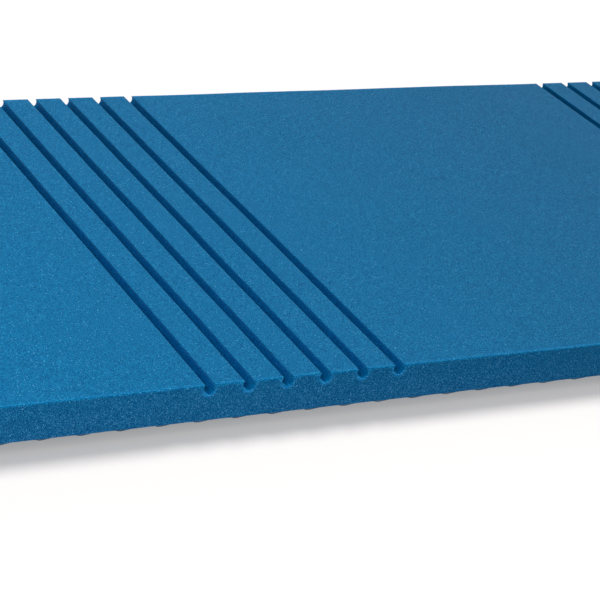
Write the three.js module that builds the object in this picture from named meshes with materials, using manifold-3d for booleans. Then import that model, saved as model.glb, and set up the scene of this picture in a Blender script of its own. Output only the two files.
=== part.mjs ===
// A mattress core of blue open-cell foam: one slab with two groups of keyhole grooves across its
// top and a square grid of nubs over its underside.
// Millimetres, +Z up. The length runs along X and the width along Y. The slab rests on the flat
// caps of its nubs at z = 0, centred on x = 0 and y = 0. The front face is at -Y.

import * as THREE from "three";
import { mergeVertices } from "three/addons/utils/BufferGeometryUtils.js";
import Module from "manifold-3d";

// Slab
const LENGTH = 2000;
const WIDTH = 800;
const THICKNESS = 60;

// Grooves: round holes whose centres lie under the top, so that each breaks through it in a slot
const GROUP_CENTRES = [-492, 492];
const GROOVES_IN_GROUP = 6;
const GROOVE_PITCH = 50;
const GROOVE_RADIUS = 7.5;
const GROOVE_CENTRE_DEPTH = 4.7;
const GROOVE_HALF_ARC_STEPS = 8;

// Nubs: the channels between them meet the front face in a straight lower edge, and the left end
// is cut through the middle of a row
const NUB_PITCH = 48;
const NUB_HEIGHT = 13.5;
const NUB_CAP = 10;

// How far the nub field reaches past the slab's sides and top before it is trimmed
const TRIM = 10;

const FOAM_BLUE = 0x256f9e;
const FOAM_ROUGHNESS = 0.95;

// The x of every groove's middle, from left to right
function grooveCentres() {
  const centres = [];
  for (const middle of GROUP_CENTRES) {
    for (let k = 0; k < GROOVES_IN_GROUP; k++) {
      centres.push(middle + (k - (GROOVES_IN_GROUP - 1) / 2) * GROOVE_PITCH);
    }
  }
  return centres;
}

// The slab's outline seen from the front, x across and z up, with a keyhole for each groove
function groovedOutline() {
  const outline = new THREE.Shape();
  const lipAngle = Math.asin(GROOVE_CENTRE_DEPTH / GROOVE_RADIUS);
  outline.moveTo(-LENGTH / 2, 0);
  outline.lineTo(LENGTH / 2, 0);
  outline.lineTo(LENGTH / 2, THICKNESS);
  for (const x of grooveCentres().reverse()) {
    const z = THICKNESS - GROOVE_CENTRE_DEPTH;
    outline.absarc(x, z, GROOVE_RADIUS, lipAngle, Math.PI - lipAngle, true);
  }
  outline.lineTo(-LENGTH / 2, THICKNESS);
  outline.closePath();
  return outline;
}

// The grooved block, with a plain underside
function groovedBlock() {
  const block = new THREE.ExtrudeGeometry(groovedOutline(), {
    depth: WIDTH,
    bevelEnabled: false,
    curveSegments: GROOVE_HALF_ARC_STEPS,
  });
  block.rotateX(Math.PI / 2);
  block.translate(0, WIDTH / 2, 0);
  return block;
}

// Adds a four-sided face as two triangles; its corners run anticlockwise seen from outside
function addQuad(positions, a, b, c, d) {
  positions.push(...a, ...b, ...c, ...a, ...c, ...d);
}

// One nub with its share of the channels round it, centred on (x, y)
function addNub(positions, x, y) {
  const corner = (half, z) => [
    [x - half, y - half, z],
    [x + half, y - half, z],
    [x + half, y + half, z],
    [x - half, y + half, z],
  ];
  const foot = corner(NUB_PITCH / 2, NUB_HEIGHT);
  const cap = corner(NUB_CAP / 2, 0);
  addQuad(positions, cap[3], cap[2], cap[1], cap[0]);
  for (let k = 0; k < 4; k++) {
    const next = (k + 1) % 4;
    addQuad(positions, foot[k], cap[k], cap[next], foot[next]);
  }
}

// A block with nubs all over its underside, larger than the slab on every side and on top
function nubField() {
  const positions = [];
  const columns = Math.ceil((LENGTH + TRIM) / NUB_PITCH) + 1;
  const rows = Math.ceil((WIDTH + TRIM) / NUB_PITCH) + 1;
  const left = -LENGTH / 2 - NUB_PITCH / 2;
  const front = -WIDTH / 2 - NUB_PITCH;
  const top = THICKNESS + TRIM;
  const xAt = (i) => left + i * NUB_PITCH;
  const yAt = (j) => front + j * NUB_PITCH;
  for (let i = 0; i < columns; i++) {
    for (let j = 0; j < rows; j++) {
      const [x0, x1, y0, y1] = [xAt(i), xAt(i + 1), yAt(j), yAt(j + 1)];
      addNub(positions, (x0 + x1) / 2, (y0 + y1) / 2);
      addQuad(positions, [x0, y0, top], [x1, y0, top], [x1, y1, top], [x0, y1, top]);
    }
  }
  const wall = (x0, y0, x1, y1) => {
    const low = NUB_HEIGHT;
    addQuad(positions, [x0, y0, low], [x1, y1, low], [x1, y1, top], [x0, y0, top]);
  };
  for (let i = 0; i < columns; i++) {
    wall(xAt(i), yAt(0), xAt(i + 1), yAt(0));
    wall(xAt(i + 1), yAt(rows), xAt(i), yAt(rows));
  }
  for (let j = 0; j < rows; j++) {
    wall(xAt(columns), yAt(j), xAt(columns), yAt(j + 1));
    wall(xAt(0), yAt(j + 1), xAt(0), yAt(j));
  }
  const field = new THREE.BufferGeometry();
  field.setAttribute("position", new THREE.Float32BufferAttribute(positions, 3));
  return field;
}

// A closed geometry as a solid that can be joined and cut
function toSolid(wasm, geometry) {
  const bare = geometry.clone();
  bare.deleteAttribute("normal");
  bare.deleteAttribute("uv");
  const merged = mergeVertices(bare);
  return new wasm.Manifold(
    new wasm.Mesh({
      numProp: 3,
      vertProperties: merged.attributes.position.array,
      triVerts: new Uint32Array(merged.index.array),
    }),
  );
}

function toGeometry(solid) {
  const mesh = solid.getMesh();
  const geometry = new THREE.BufferGeometry();
  geometry.setAttribute("position", new THREE.BufferAttribute(mesh.vertProperties, 3));
  geometry.setIndex(new THREE.BufferAttribute(mesh.triVerts, 1));
  geometry.computeVertexNormals();
  return geometry;
}

async function foamCore() {
  const wasm = await Module();
  wasm.setup();
  const core = toSolid(wasm, groovedBlock()).intersect(toSolid(wasm, nubField()));
  const foam = new THREE.MeshStandardMaterial({
    color: FOAM_BLUE,
    roughness: FOAM_ROUGHNESS,
    metalness: 0,
    flatShading: true,
  });
  const mesh = new THREE.Mesh(toGeometry(core), foam);
  mesh.name = "foam_core";
  return mesh;
}

const mattress = new THREE.Group();
mattress.add(await foamCore());

export default mattress;
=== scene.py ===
"""The look of a foam mattress core: one slab of blue open-cell foam.

Two groups of keyhole grooves cross its top, and rounded nubs cover its underside.
Metres, +Z up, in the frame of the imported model: length along X, width along Y, front face at -Y.
"""

import math

import bmesh
import bpy
import numpy as np
from mathutils import Matrix, Vector, noise
from mathutils.geometry import delaunay_2d_cdt


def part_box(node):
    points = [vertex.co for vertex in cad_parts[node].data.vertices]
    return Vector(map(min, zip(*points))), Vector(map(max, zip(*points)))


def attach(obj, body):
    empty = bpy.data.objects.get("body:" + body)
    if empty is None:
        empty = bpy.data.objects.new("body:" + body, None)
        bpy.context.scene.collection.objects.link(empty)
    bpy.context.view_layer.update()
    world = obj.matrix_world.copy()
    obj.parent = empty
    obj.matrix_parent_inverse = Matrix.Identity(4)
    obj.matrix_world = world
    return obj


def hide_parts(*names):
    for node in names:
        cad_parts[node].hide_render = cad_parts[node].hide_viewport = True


MM = 0.001

# Grooves, as in the solid: round holes that break through the top in a slot
GROUP_CENTRES = (-492 * MM, 492 * MM)
GROOVES_IN_GROUP = 6
GROOVE_PITCH = 50 * MM
GROOVE_RADIUS = 7.4 * MM
GROOVE_CENTRE_DEPTH = 4.8 * MM

# Nubs, as in the solid: a channel line on the front face, and a nub's middle on the left end
NUB_PITCH = 48 * MM
NUB_HEIGHT = 13.5 * MM
NUB_CROWN = 14.2 * MM
NUB_FULLNESS = 0.58

# Cut edges are slightly soft
FACE_EDGE = 0.6 * MM
END_CORNER = 2.2 * MM
LIP_EDGE = 0.5 * MM
SHARPEST_LIP = 0.12 * MM
EDGE_STEPS = (0.0, 0.06, 0.2, 0.45, 0.72, 1.0)

# Mesh density
HOLE_STEPS = 24
LIP_STEPS = 3
CORNER_STEPS = 4
TOP_STEP = 25 * MM
GUARD = 1.2 * MM
SIDE_ROWS = (22 * MM, 32 * MM, 44 * MM, 56.4 * MM)
STATION_STEP = 14 * MM
FACE_STEP = 9 * MM
FACE_MARGIN = 3.5 * MM
FACE_GUARD = 1.3 * MM
NUB_SAMPLES = (0.0, 4.2 * MM, 10.5 * MM, 17.5 * MM, 24.0 * MM)
RIM_STEPS = (1.8 * MM, 3.6 * MM, 5.4 * MM)
WELD = 0.01 * MM

# Painted light and shade in the foam's colour, 1 being its plain colour. Cut rims get painted
# highlights, and painted light falls from the left end on.
# Painted light and shade in grooves and their mouths run from the sides to the bottom, and in mouths
# also from right to left
# Painted highlights along the top's cut edges and around the grooves on the cut faces
TOP_PAINTED_HIGHLIGHT = 0.36
HOLE_PAINTED_HIGHLIGHTS = (0.51, 1.15)
HOLE_HIGHLIGHT_REACH = 4.8 * MM
# Painted shade in the grooves, darkest at the bottom and falling towards the back; painted light at
# their mouths, lightest at the bottom and darker on the left side
GROOVE_PAINTED_SHADE = (1.19, 0.46)
GROOVE_PAINTED_SHADE_FADE = (1.18, 0.95)
GROOVE_FADE_REACH = 700 * MM
MOUTH_PAINTED_LIGHT = (0.90, 2.00)
MOUTH_PAINTED_SIDE_SHADE = (1.15, 0.65)
MOUTH_DEPTH = 11 * MM
RIM_START = 0.1 * MM
# Painted light falling from the left end, on the top and on the cut faces
TOP_PAINTED_FALLOFF = (1.20, 0.80)
FACE_PAINTED_FALLOFF = (1.10, 0.58)
TONE_REACH = 1250 * MM
# Painted light from the floor on the foot of the cut faces, and painted shade on the underside
FACE_FOOT_PAINTED_LIGHT = 0.18
UNDERSIDE_PAINTED_SHADE = 0.50

# Tints of the foam. The cut faces shift from foot to top, with more red, partly the foam's own and
# partly painted pale light from the floor, most at the foot; the grooves are a purer blue, painted in
# for light bounced around inside them
PLAIN_TINT = (1.0, 1.0, 1.0)
FACE_PAINTED_TINTS = ((3.2, 0.985, 1.03), (2.0, 0.985, 1.03))
GROOVE_PAINTED_TINT = (0.1, 1.17, 1.18)

# Unevenness of hand-handled foam
WAVE_SIZE = 170 * MM
WAVE_HEIGHT = 0.5 * MM
RIPPLE_SIZE = 42 * MM
RIPPLE_HEIGHT = 0.16 * MM
RIPPLE_SHIFT = (7.3, 1.9, 4.1)
NOISE_SEED = 7

# Camera, found from the photo's vanishing lines
CAMERA_AT = (-1689.1 * MM, -2212.5 * MM, 1218.3 * MM)
CAMERA_AZIMUTH = 32.78
CAMERA_ELEVATION = 26.15
CAMERA_ROLL = 10.95
CAMERA_LENS = 128.8

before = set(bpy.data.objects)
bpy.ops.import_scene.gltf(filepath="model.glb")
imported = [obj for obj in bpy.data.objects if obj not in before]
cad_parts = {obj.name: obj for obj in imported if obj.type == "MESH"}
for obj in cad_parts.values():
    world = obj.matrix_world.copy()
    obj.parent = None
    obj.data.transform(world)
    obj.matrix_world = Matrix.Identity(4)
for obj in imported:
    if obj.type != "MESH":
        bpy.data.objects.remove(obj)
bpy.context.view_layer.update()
LOW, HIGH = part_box("foam_core")
LENGTH = HIGH.x - LOW.x
THICKNESS = HIGH.z - LOW.z


def groove_centres():
    """The x of every groove's middle, from left to right."""
    middle = (GROOVES_IN_GROUP - 1) / 2
    return [
        centre + (k - middle) * GROOVE_PITCH
        for centre in GROUP_CENTRES
        for k in range(GROOVES_IN_GROUP)
    ]


def inset_at(distance):
    """How far the soft edge of a cut face pulls the outline in, at this distance behind it."""
    if distance >= FACE_EDGE:
        return 0.0
    return FACE_EDGE - math.sqrt(FACE_EDGE**2 - (FACE_EDGE - distance) ** 2)


def spread(start, end, count):
    """Even positions from start up to, but not including, end."""
    return [start + (end - start) * k / count for k in range(count)]


def arc(cx, cz, radius, start, end, steps):
    """Points of an arc in the x-z plane, both ends included."""
    angles = np.linspace(start, end, steps + 1)
    return [(cx + radius * math.cos(a), cz + radius * math.sin(a)) for a in angles]


def groove_points(x, inset):
    """A keyhole from its left lip to its right lip, cut deeper by the inset."""
    top = THICKNESS - inset
    radius = GROOVE_RADIUS + inset
    centre_z = THICKNESS - GROOVE_CENTRE_DEPTH
    lip = max(LIP_EDGE - inset, SHARPEST_LIP)
    lip_z = top - lip
    rise = lip_z - centre_z
    reach = math.sqrt((radius + lip) ** 2 - rise**2)
    tangent = math.atan2(rise, reach)
    right_lip = arc(x + reach, lip_z, lip, -math.pi + tangent, -1.5 * math.pi, LIP_STEPS)
    hole = arc(x, centre_z, radius, math.pi - tangent, 2 * math.pi + tangent, HOLE_STEPS)
    left_lip = [(2 * x - px, pz) for px, pz in reversed(right_lip)]
    return left_lip + hole[1:-1] + right_lip


def flat_run(start, end, count, top):
    """Points across a flat stretch of the top, with a guard close to the round edge at each end."""
    low = start + GUARD
    high = end - GUARD
    return [(x, top) for x in spread(low, high, count) + [high]]


def upper_profile(inset):
    """The slab's outline from the foot of its left side over the top to the foot of its right side."""
    side_x = -LENGTH / 2 + inset
    top = THICKNESS - inset
    points = [(side_x, z) for z in SIDE_ROWS]
    corner_x = -LENGTH / 2 + END_CORNER
    corner_z = THICKNESS - END_CORNER
    points += arc(corner_x, corner_z, END_CORNER - inset, math.pi, math.pi / 2, CORNER_STEPS)
    bounds = [corner_x] + groove_centres() + [-corner_x]
    counts = [math.ceil((b - a) / TOP_STEP) for a, b in zip(bounds, bounds[1:])]
    x = corner_x
    for centre, count in zip(groove_centres(), counts):
        groove = groove_points(centre, inset)
        points += flat_run(x, groove[0][0], count, top)
        points += groove
        x = groove[-1][0]
    points += flat_run(x, -corner_x, counts[-1], top)
    left_end = len(SIDE_ROWS) + CORNER_STEPS + 1
    points += [(-px, pz) for px, pz in reversed(points[:left_end])]
    return points


def edge_positions(low, high, inner):
    """Positions from low to high, with close steps over the soft edge at both ends."""
    steps = [FACE_EDGE * s for s in EDGE_STEPS]
    limit = FACE_EDGE * 1.5
    middle = [p for p in inner if low + limit < p < high - limit]
    return [low + s for s in steps] + middle + [high - s for s in reversed(steps)]


def nub_positions(low, high, first_centre):
    """Sample positions across a row of nubs, the same on each nub."""
    positions = set()
    count = math.ceil((high - low) / NUB_PITCH) + 2
    for k in range(-1, count):
        centre = first_centre + k * NUB_PITCH
        for s in NUB_SAMPLES:
            positions.update((round(centre + s, 6), round(centre - s, 6)))
    return edge_positions(low, high, sorted(positions))


def nub_wave(distance):
    """1 on the middle of a row of nubs, 0 on the channel between two rows."""
    return (0.5 + 0.5 * math.cos(2 * math.pi * distance / NUB_PITCH)) ** NUB_FULLNESS


def underside_height(x, y):
    """The height of the underside above the floor."""
    from_left = nub_wave(x - LOW.x)
    from_front = nub_wave(y - LOW.y - NUB_PITCH / 2)
    return NUB_HEIGHT - min(NUB_HEIGHT, NUB_CROWN * from_left * from_front)


class Shell:
    """Collects patches of one closed mesh in a bmesh and welds them."""

    def __init__(self):
        self.bm = bmesh.new()

    def grid(self, rows):
        """Joins rows of points into a sheet of four-sided faces, and gives its vertices."""
        verts = [[self.bm.verts.new(p) for p in row] for row in rows]
        for low, high in zip(verts, verts[1:]):
            for k in range(len(low) - 1):
                self.bm.faces.new((low[k], low[k + 1], high[k + 1], high[k]))
        return verts

    def lace(self, one, other):
        """Fills the gap between two rows of vertices that run the same way along Y."""
        i = j = 0
        while i < len(one) - 1 or j < len(other) - 1:
            step_one = j == len(other) - 1 or (
                i < len(one) - 1 and one[i + 1].co.y <= other[j + 1].co.y
            )
            if step_one:
                self.bm.faces.new((one[i], one[i + 1], other[j]))
                i += 1
            else:
                self.bm.faces.new((one[i], other[j + 1], other[j]))
                j += 1

    def cut_face(self, loop, inner):
        """Fills a loop of vertices in a plane of constant y, with extra points inside it."""
        y = loop[0].co.y
        flat = [Vector((v.co.x, v.co.z)) for v in loop] + [Vector(p) for p in inner]
        around = list(range(len(loop)))
        points, _, faces, _, _, _ = delaunay_2d_cdt(flat, [], [around], 1, 1e-7)
        verts = loop + [self.bm.verts.new((p[0], y, p[1])) for p in points[len(loop) :]]
        for face in faces:
            self.bm.faces.new([verts[k] for k in face])

    def close(self):
        """Welds the patches and turns every face outwards."""
        bmesh.ops.remove_doubles(self.bm, verts=self.bm.verts, dist=WELD)
        bmesh.ops.recalc_face_normals(self.bm, faces=self.bm.faces)


def hole_distance(x, z):
    """The distance from the wall of the nearest groove, less than 0 inside the groove."""
    depth = z - THICKNESS + GROOVE_CENTRE_DEPTH
    return min(math.hypot(x - c, depth) for c in groove_centres()) - GROOVE_RADIUS


def hole_rings():
    """Points around each groove's mouth on a cut face."""
    centre_z = THICKNESS - GROOVE_CENTRE_DEPTH
    points = []
    for x in groove_centres():
        for step in RIM_STEPS:
            ring = arc(x, centre_z, GROOVE_RADIUS + FACE_EDGE + step, -math.pi, 0, HOLE_STEPS)
            points += ring
    return points


def face_points():
    """Inner points of the front and back faces, clear of the outline."""
    low = NUB_HEIGHT + FACE_EDGE + FACE_MARGIN
    high = THICKNESS - FACE_EDGE - FACE_MARGIN
    rows = list(np.linspace(low, high, 1 + round((high - low) / FACE_STEP)))
    rows.append(THICKNESS - FACE_EDGE - FACE_GUARD)
    clear = FACE_EDGE + RIM_STEPS[-1] + FACE_MARGIN
    edge = LENGTH / 2 - FACE_EDGE - FACE_MARGIN
    points = hole_rings()
    for row, z in enumerate(rows):
        shift = FACE_STEP / 2 if row % 2 else 0.0
        for x in spread(-edge + shift, edge, round(2 * edge / FACE_STEP)):
            if hole_distance(x, z) > clear:
                points.append((x, z))
    return points


def slab_shell():
    """The whole slab as one closed shell."""
    shell = Shell()
    inner = spread(LOW.y, HIGH.y, round((HIGH.y - LOW.y) / STATION_STEP))
    inner = [y for y in inner if min(y - LOW.y, HIGH.y - y) > 2 * RIM_STEPS[-1]]
    rim = [FACE_EDGE + step for step in RIM_STEPS]
    rows_in = [LOW.y + r for r in rim] + inner + [HIGH.y - r for r in reversed(rim)]
    stations = edge_positions(LOW.y, HIGH.y, rows_in)
    rows = []
    for y in stations:
        inset = inset_at(min(y - LOW.y, HIGH.y - y))
        rows.append([(x, y, z) for x, z in upper_profile(inset)])
    upper = shell.grid(rows)

    columns = nub_positions(LOW.x, HIGH.x, LOW.x)
    under_rows = []
    for y in nub_positions(LOW.y, HIGH.y, LOW.y + NUB_PITCH / 2):
        inset = inset_at(min(y - LOW.y, HIGH.y - y))
        squeeze = 1 - 2 * inset / LENGTH
        row = []
        for x in columns:
            end_inset = inset_at(min(x - LOW.x, HIGH.x - x))
            lift = max(inset, end_inset)
            row.append((x * squeeze, y, underside_height(x, y) + lift))
        under_rows.append(row)
    under = shell.grid(under_rows)

    for side in (0, -1):
        shell.lace([row[side] for row in upper], [row[side] for row in under])
    for end in (0, -1):
        shell.cut_face(upper[end] + under[end][::-1], face_points())
    shell.close()
    return shell.bm


def soft_offset(p):
    """A small smooth drift of the surface, none of it vertical where the slab rests."""
    wave = noise.noise_vector(p / WAVE_SIZE) * WAVE_HEIGHT
    ripple = noise.noise_vector(p / RIPPLE_SIZE + Vector(RIPPLE_SHIFT)) * RIPPLE_HEIGHT
    drift = wave + ripple
    drift.z *= min(1.0, p.z / THICKNESS)
    return drift


def fade(distance, reach):
    """1 at distance 0, falling to 0 at the reach."""
    return max(0.0, 1.0 - max(0.0, distance) / reach)


def blend(ends, share):
    """A value between two ends: the first at share 0, the second from share 1 on."""
    return ends[0] + (ends[1] - ends[0]) * min(1.0, share)


def painted_falloff_along(x, tones):
    """Painted light that changes slowly from the left end over its reach, and then stays the same."""
    return blend(tones, (x - LOW.x) / TONE_REACH)


def share_below(p, from_hole):
    """0 beside the nearest groove's middle or above it, 1 straight below it."""
    drop = THICKNESS - GROOVE_CENTRE_DEPTH - p.z
    return max(0.0, drop) / (GROOVE_RADIUS + from_hole)


def share_left(p):
    """0 on the right wall of the nearest groove, 1 on its left wall."""
    shift = min((c - p.x for c in groove_centres()), key=abs)
    return 0.5 + 0.5 * shift / GROOVE_RADIUS


def groove_painted_light(p, behind, from_hole):
    """Painted shade inside a groove, darkest at the bottom and falling towards the back, with painted
    light where it ends in a face, darker on the left.
    """
    below = share_below(p, from_hole)
    depth = (p.y - LOW.y) / GROOVE_FADE_REACH
    inside = blend(GROOVE_PAINTED_SHADE, below**3) * blend(GROOVE_PAINTED_SHADE_FADE, depth)
    mouth = blend(MOUTH_PAINTED_LIGHT, below**2) * blend(MOUTH_PAINTED_SIDE_SHADE, share_left(p))
    return painted_falloff_along(p.x, TOP_PAINTED_FALLOFF) * blend((inside, mouth), fade(behind, MOUTH_DEPTH))


def face_painted_light(p, from_hole):
    """Painted light on a cut face: falling from the left end, a painted highlight around each groove,
    most below it, and a foot lightened by painted light from the floor.
    """
    # Painted light from the floor, strongest at the foot
    foot = FACE_FOOT_PAINTED_LIGHT * (1.0 - p.z / THICKNESS)
    below = share_below(p, from_hole)
    # Painted highlight around the groove, most below it
    rim = blend(HOLE_PAINTED_HIGHLIGHTS, below**4) * fade(from_hole, HOLE_HIGHLIGHT_REACH)
    return painted_falloff_along(p.x, FACE_PAINTED_FALLOFF) + foot + rim


def face_painted_tint(p):
    """The colour shift of a cut face at this height: more red, partly the foam's own and partly
    painted pale light from the floor, most at the foot.
    """
    return [blend(ends, p.z / THICKNESS) for ends in zip(*FACE_PAINTED_TINTS)]


def painted_light_tint_at(p):
    """The colour that multiplies the foam's own at a point of the undisturbed surface: painted light
    and shade, times a colour shift that is partly painted light too.
    """
    behind = min(p.y - LOW.y, HIGH.y - p.y)
    beside = min(p.x - LOW.x, HIGH.x - p.x)
    from_hole = hole_distance(p.x, p.z)
    if p.z > THICKNESS - inset_at(behind) - SHARPEST_LIP:
        # Painted light falling from the left end, with a painted highlight along the cut edge
        tone = painted_falloff_along(p.x, TOP_PAINTED_FALLOFF) + TOP_PAINTED_HIGHLIGHT * fade(behind, FACE_EDGE + RIM_STEPS[-1])
        painted_light_tint = PLAIN_TINT
    elif from_hole < LIP_EDGE and behind > RIM_START:
        # Painted shade and light inside the groove, with its painted purer blue
        tone = groove_painted_light(p, behind, from_hole)
        painted_light_tint = GROOVE_PAINTED_TINT
    elif min(behind, beside) < FACE_EDGE or p.z > NUB_HEIGHT + FACE_EDGE:
        # Painted light on the cut faces and their partly painted colour shift
        tone = face_painted_light(p, from_hole)
        painted_light_tint = face_painted_tint(p)
    else:
        # Painted shade on the underside
        tone = UNDERSIDE_PAINTED_SHADE
        painted_light_tint = PLAIN_TINT
    return [tone * share for share in painted_light_tint] + [1.0]


def make_slab(material):
    """The foam slab as one mesh object, with its painted light and shade and colour shifts stored on
    the vertices.
    """
    bm = slab_shell()
    painted_light_tints = [share for v in bm.verts for share in painted_light_tint_at(v.co)]
    noise.seed_set(NOISE_SEED)
    for v in bm.verts:
        v.co += soft_offset(v.co)
    mesh = bpy.data.meshes.new("foam_slab")
    bm.to_mesh(mesh)
    bm.free()
    mesh.attributes.new("painted_light_tint", "FLOAT_COLOR", "POINT").data.foreach_set("color", painted_light_tints)
    mesh.materials.append(material)
    mesh.shade_smooth()
    slab = bpy.data.objects.new("foam_slab", mesh)
    bpy.context.collection.objects.link(slab)
    return slab


# Places of the colour sockets on a Mix node, whose names repeat for other data types
COLOUR_A = 6
COLOUR_B = 7
COLOUR_RESULT = 2


class Nodes:
    """Short ways to add and join shader nodes."""

    def __init__(self, owner):
        owner.use_nodes = True
        self.tree = owner.node_tree
        self.tree.nodes.clear()

    def add(self, kind, inputs=None, **settings):
        node = self.tree.nodes.new(kind)
        for name, value in settings.items():
            setattr(node, name, value)
        for name, value in (inputs or {}).items():
            if isinstance(value, bpy.types.NodeSocket):
                self.tree.links.new(value, node.inputs[name])
            else:
                node.inputs[name].default_value = value
        return node

    def ramp(self, value, stops):
        node = self.add("ShaderNodeValToRGB", {"Fac": value})
        elements = node.color_ramp.elements
        while len(elements) < len(stops):
            elements.new(0.5)
        for element, (place, grey) in zip(elements, stops):
            element.position = place
            element.color = (grey, grey, grey, 1.0)
        return node.outputs["Color"]

    def math(self, operation, a, b):
        node = self.add("ShaderNodeMath", {0: a, 1: b}, operation=operation)
        return node.outputs[0]

    def mix(self, blend, factor, a, b):
        """Mixes two colours, each a socket or a plain value."""
        inputs = {"Factor": factor, COLOUR_A: a, COLOUR_B: b}
        node = self.add("ShaderNodeMix", inputs, data_type="RGBA", blend_type=blend)
        return node.outputs[COLOUR_RESULT]


DARK_FOAM = (0.0005, 0.0570, 0.1800, 1.0)
LIGHT_FOAM = (0.0052, 0.2085, 0.4190, 1.0)
CELL_SIZE = 1.1 * MM
CELL_TONES = ((0.38, 0.0), (0.50, 0.42), (0.62, 1.0))
# Pale cell walls: the foam's grain, painted pale as light catching the cut cells
CELL_WALL_SPARKLE = (0.0540, 0.3400, 0.5960, 1.0)
WALL_TONES = ((0.59, 0.0), (0.70, 1.0))
PATCH_SIZE = 9 * MM
CLOUD_SIZE = 70 * MM
PATCH_TONES = ((0.25, 0.98), (0.75, 1.02))
# Painted glints: specks of light painted into the colour, not reflected by the shader
PAINTED_GLINT_COLOUR = (0.15, 0.50, 0.80, 1.0)
GLINT_SPACING = 4.5 * MM
GLINT_DOT = ((0.05, 1.0), (0.20, 0.0))
GLINT_STRENGTHS = ((0.25, 0.0), (1.0, 1.0))
ROUGHNESS = 0.5
SPECULAR = 0.006
SHEEN = 0.20
SHEEN_ROUGHNESS = 0.25
BUMP_STRENGTH = 0.6
BUMP_DEPTH = 0.6 * MM
NOISE_ROUGHNESS = 0.72


def foam_noise(n, place, size, detail):
    """Cloudy noise with features of about this size."""
    settings = {
        "Vector": place,
        "Scale": 1 / size,
        "Detail": detail,
        "Roughness": NOISE_ROUGHNESS,
    }
    return n.add("ShaderNodeTexNoise", settings).outputs["Fac"]


def painted_glint_mask(n, place):
    """Painted glints, where small cut cell walls catch the light: many faint ones and a few bright
    ones.
    """
    settings = {"Vector": place, "Scale": 1 / GLINT_SPACING}
    sparks = n.add("ShaderNodeTexVoronoi", settings, feature="F1")
    dots = n.ramp(sparks.outputs["Distance"], GLINT_DOT)
    chance = n.add("ShaderNodeSeparateColor", {"Color": sparks.outputs["Color"]}).outputs["Red"]
    strength = n.ramp(chance, GLINT_STRENGTHS)
    return n.math("MULTIPLY", dots, strength)


def foam_material():
    """Blue open-cell foam: fine cells with pale walls painted as catching light, painted glints, and a
    faint sheen at a low angle.

    The green of the painted light on the vertices scales each painted glint. Its red keeps painted
    glints out of the grooves.
    """
    material = bpy.data.materials.new("open_cell_foam")
    n = Nodes(material)
    place = n.add("ShaderNodeTexCoord").outputs["Object"]
    cells = foam_noise(n, place, CELL_SIZE, 3.0)
    patches = foam_noise(n, place, PATCH_SIZE, 1.0)
    clouds = foam_noise(n, place, CLOUD_SIZE, 3.0)
    # Painted light and shade and colour shifts, stored on the vertices
    painted_light_tint = n.add("ShaderNodeAttribute", attribute_name="painted_light_tint").outputs["Color"]
    shares = n.add("ShaderNodeSeparateColor", {"Color": painted_light_tint}).outputs
    colour = n.mix("MIX", n.ramp(cells, CELL_TONES), DARK_FOAM, LIGHT_FOAM)
    # Painted sparkle of light on pale cell walls
    colour = n.mix("MIX", n.ramp(cells, WALL_TONES), colour, CELL_WALL_SPARKLE)
    colour = n.mix("MULTIPLY", 1.0, colour, n.ramp(patches, PATCH_TONES))
    colour = n.mix("MULTIPLY", 1.0, colour, n.ramp(clouds, PATCH_TONES))
    colour = n.mix("MULTIPLY", 1.0, colour, painted_light_tint)
    # Painted glints, toned by the painted light's green and kept out of the grooves by its red
    painted_glint = n.mix("MULTIPLY", 1.0, PAINTED_GLINT_COLOUR, shares["Green"])
    colour = n.mix("MIX", n.math("MINIMUM", painted_glint_mask(n, place), shares["Red"]), colour, painted_glint)
    bump = n.add(
        "ShaderNodeBump",
        {"Height": cells, "Strength": BUMP_STRENGTH, "Distance": BUMP_DEPTH},
    )
    shader = n.add(
        "ShaderNodeBsdfPrincipled",
        {
            "Base Color": colour,
            "Roughness": ROUGHNESS,
            "Specular IOR Level": SPECULAR,
            "Sheen Weight": SHEEN,
            "Sheen Roughness": SHEEN_ROUGHNESS,
            "Normal": bump.outputs["Normal"],
        },
    )
    n.add("ShaderNodeOutputMaterial", {"Surface": shader.outputs["BSDF"]})
    return material


FLOOR_SIZE = 30.0
FLOOR_COLOUR = (0.69, 0.66, 0.65, 1.0)
FLOOR_GLOW_COLOUR = (1.0, 0.985, 0.97, 1.0)
FLOOR_GLOW = 0.285


def make_floor():
    """A plain white studio floor that glows a little."""
    material = bpy.data.materials.new("studio_floor")
    n = Nodes(material)
    shader = n.add(
        "ShaderNodeBsdfPrincipled",
        {
            "Base Color": FLOOR_COLOUR,
            "Roughness": 1.0,
            "Specular IOR Level": 0.0,
            "Emission Color": FLOOR_GLOW_COLOUR,
            "Emission Strength": FLOOR_GLOW,
        },
    )
    n.add("ShaderNodeOutputMaterial", {"Surface": shader.outputs["BSDF"]})
    half = FLOOR_SIZE / 2
    mesh = bpy.data.meshes.new("studio_floor")
    corners = [(-half, -half, 0), (half, -half, 0), (half, half, 0), (-half, half, 0)]
    mesh.from_pydata(corners, [], [(0, 1, 2, 3)])
    mesh.materials.append(material)
    floor = bpy.data.objects.new("studio_floor", mesh)
    bpy.context.collection.objects.link(floor)


# Key light: angles in degrees, the azimuth turned from +Y towards +X
KEY_STRENGTH = 2.90
KEY_SIZE = 21
KEY_AZIMUTH = 55
KEY_ELEVATION = 46

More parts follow.
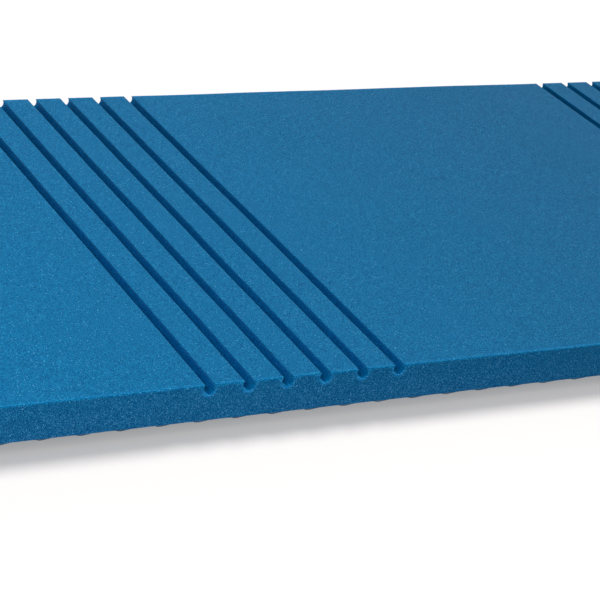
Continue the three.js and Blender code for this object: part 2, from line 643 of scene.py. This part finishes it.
# Brightness of the white studio around the slab, by the height of the view from 0 to 1 overhead
SURROUND = ((0.0, 1.0), (0.34, 0.95), (0.50, 0.45), (0.64, 0.36))


def make_key_light():
    """A soft distant light from behind, from the right and above."""
    light = bpy.data.lights.new("key", "SUN")
    light.energy = KEY_STRENGTH
    light.angle = math.radians(KEY_SIZE)
    a = math.radians(KEY_AZIMUTH)
    e = math.radians(KEY_ELEVATION)
    source = Vector((math.sin(a) * math.cos(e), math.cos(a) * math.cos(e), math.sin(e)))
    lamp = bpy.data.objects.new("key", light)
    lamp.rotation_mode = "QUATERNION"
    lamp.rotation_quaternion = source.to_track_quat("Z", "Y")
    bpy.context.collection.objects.link(lamp)


def make_surround():
    """A white studio, brightest low down and darker overhead."""
    world = bpy.data.worlds.new("studio")
    n = Nodes(world)
    direction = n.add("ShaderNodeTexCoord").outputs["Generated"]
    height = n.add("ShaderNodeSeparateXYZ", {"Vector": direction}).outputs["Z"]
    background = n.add("ShaderNodeBackground", {"Color": n.ramp(height, SURROUND)})
    n.add("ShaderNodeOutputWorld", {"Surface": background.outputs["Background"]})
    bpy.context.scene.world = world


def make_camera():
    """The camera at the photo's place and angle."""
    data = bpy.data.cameras.new("camera")
    data.lens = CAMERA_LENS
    data.clip_start = 0.1
    data.clip_end = 100.0
    camera = bpy.data.objects.new("camera", data)
    turn = Matrix.Rotation(math.radians(-CAMERA_AZIMUTH), 4, "Z")
    tilt = Matrix.Rotation(math.radians(90 - CAMERA_ELEVATION), 4, "X")
    roll = Matrix.Rotation(math.radians(CAMERA_ROLL), 4, "Z")
    camera.matrix_world = Matrix.Translation(CAMERA_AT) @ turn @ tilt @ roll
    bpy.context.collection.objects.link(camera)
    bpy.context.scene.camera = camera


def corners(box):
    """A box's two corners as plain lists."""
    return [list(corner) for corner in box]


make_camera()
make_key_light()
make_surround()
make_floor()
slab = make_slab(foam_material())
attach(slab, "root")
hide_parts("foam_core")
bpy.context.scene.view_settings.view_transform = "Standard"
